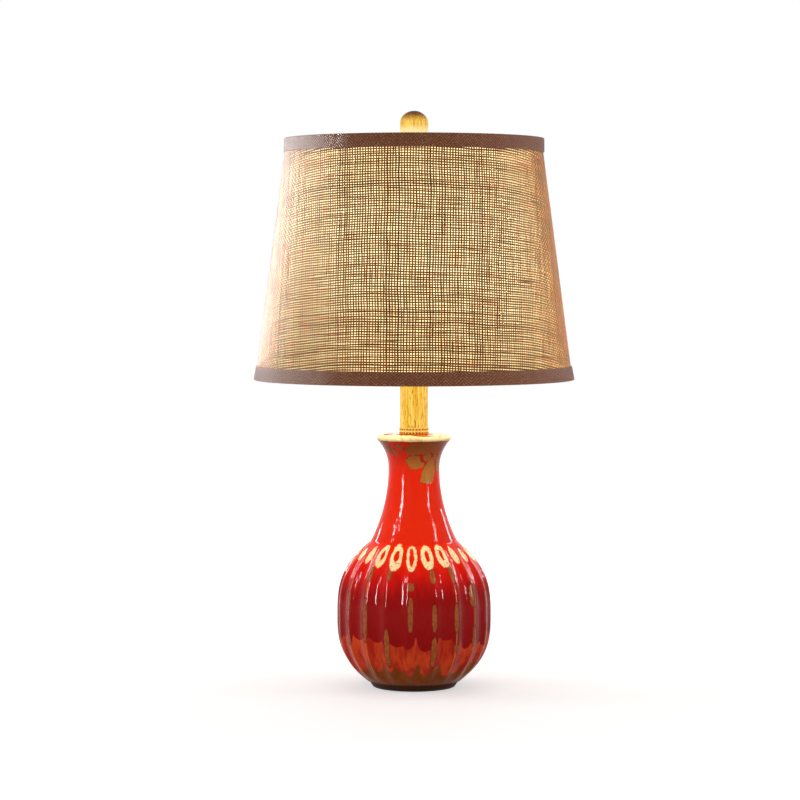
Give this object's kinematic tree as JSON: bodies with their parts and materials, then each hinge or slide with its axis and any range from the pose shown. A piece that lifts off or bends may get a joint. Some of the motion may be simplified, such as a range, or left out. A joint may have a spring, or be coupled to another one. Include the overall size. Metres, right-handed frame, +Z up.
{
  "type": "table lamp",
  "caption": "Bedside table lamp: ribbed red-glazed ceramic body with a narrow neck, short gold column, tapered burlap shade with brown edge ribbons, harp, bulb and round finial.",
  "frame": {"origin": "centre of the felt pad's underside, on the surface the lamp stands on", "axes": "+Z up along the lamp's axis, front towards -Y, cord notch towards +Y, harp in the XZ plane"},
  "size_m": [0.2997, 0.2998, 0.5387],
  "materials": {
    "glaze": "glossy red glaze that breaks to brown on the ribs",
    "felt": "dense felt",
    "bushing_plastic": "moulded",
    "steel": "zinc plated",
    "gold": "brushed gold with upright streaks",
    "brass": "bright brass plating",
    "card": "pressed card",
    "phenolic": "moulded phenolic",
    "shell_metal": "rolled sheet",
    "knob_plastic": "moulded, fluted",
    "bulb_glass": "frosted, warm white",
    "black_glass": "fused glass",
    "liner": "translucent sheet",
    "burlap": "coarse open plain weave",
    "trim": "brown twill ribbon",
    "wire": "white enamel"
  },
  "bodies": {
    "stand": {"vase": "glaze", "felt_pad": "felt", "cord_bushing": "bushing_plastic", "base_washer": "steel", "lock_washer": "steel", "base_nut": "steel", "threaded_pipe": "steel", "column_collar": "gold", "column_tube": "gold", "column_cap": "gold", "harp_saddle": "brass", "harp": "brass", "harp_stud": "brass", "socket_cap": "brass", "socket_shell": "brass", "centre_contact": "brass", "terminal_screws": "brass", "insulating_sleeve": "card", "socket_body": "phenolic", "screw_shell": "shell_metal"},
    "shade": {"shade_liner": "liner", "shade_fabric": "burlap", "top_trim": "trim", "bottom_trim": "trim", "top_ring": "wire", "bottom_ring": "wire", "fitter_washer": "wire", "fitter_arms": "wire"},
    "finial_carrier": {"finial_bush": "brass"},
    "finial": {"finial_knob": "gold"},
    "bulb_carrier": {"bulb_tip": "shell_metal", "bulb_insulator": "black_glass"},
    "bulb": {"bulb_cap": "shell_metal", "bulb_globe": "bulb_glass"},
    "switch": {"switch_shaft": "brass", "switch_knob": "knob_plastic"},
    "ferrule_left": {"ferrule_left": "brass"},
    "ferrule_right": {"ferrule_right": "brass"}
  },
  "joints": [
    {"name": "shade_turn", "type": "hinge", "parent": "stand", "child": "shade", "pos_m": [0, 0, 0.5001], "axis": [0, 0, 1], "continuous": true},
    {"name": "finial_rise", "type": "slide", "parent": "stand", "child": "finial_carrier", "axis": [0, 0, 1], "range_m": [0, 0.0075]},
    {"name": "finial_turn", "type": "hinge", "parent": "finial_carrier", "child": "finial", "pos_m": [0, 0, 0.5025], "axis": [0, 0, 1], "range_deg": [0, 2880]},
    {"name": "bulb_rise", "type": "slide", "parent": "stand", "child": "bulb_carrier", "axis": [0, 0, 1], "range_m": [0, 0.0108]},
    {"name": "bulb_turn", "type": "hinge", "parent": "bulb_carrier", "child": "bulb", "pos_m": [0, 0, 0.3341], "axis": [0, 0, 1], "range_deg": [0, 1080]},
    {"name": "switch_turn", "type": "hinge", "parent": "stand", "child": "switch", "pos_m": [0, -0.019, 0.3196], "axis": [0, -1, 0], "continuous": true},
    {"name": "ferrule_left_lift", "type": "slide", "parent": "stand", "child": "ferrule_left", "axis": [0, 0, 1], "range_m": [0, 0.011]},
    {"name": "ferrule_right_lift", "type": "slide", "parent": "stand", "child": "ferrule_right", "axis": [0, 0, 1], "range_m": [0, 0.011]}
  ],
  "couplings": [
    {"joint": "finial_turn", "follows": "finial_rise", "rad_per_m": 6679},
    {"joint": "bulb_turn", "follows": "bulb_rise", "rad_per_m": 1731.6}
  ]
}
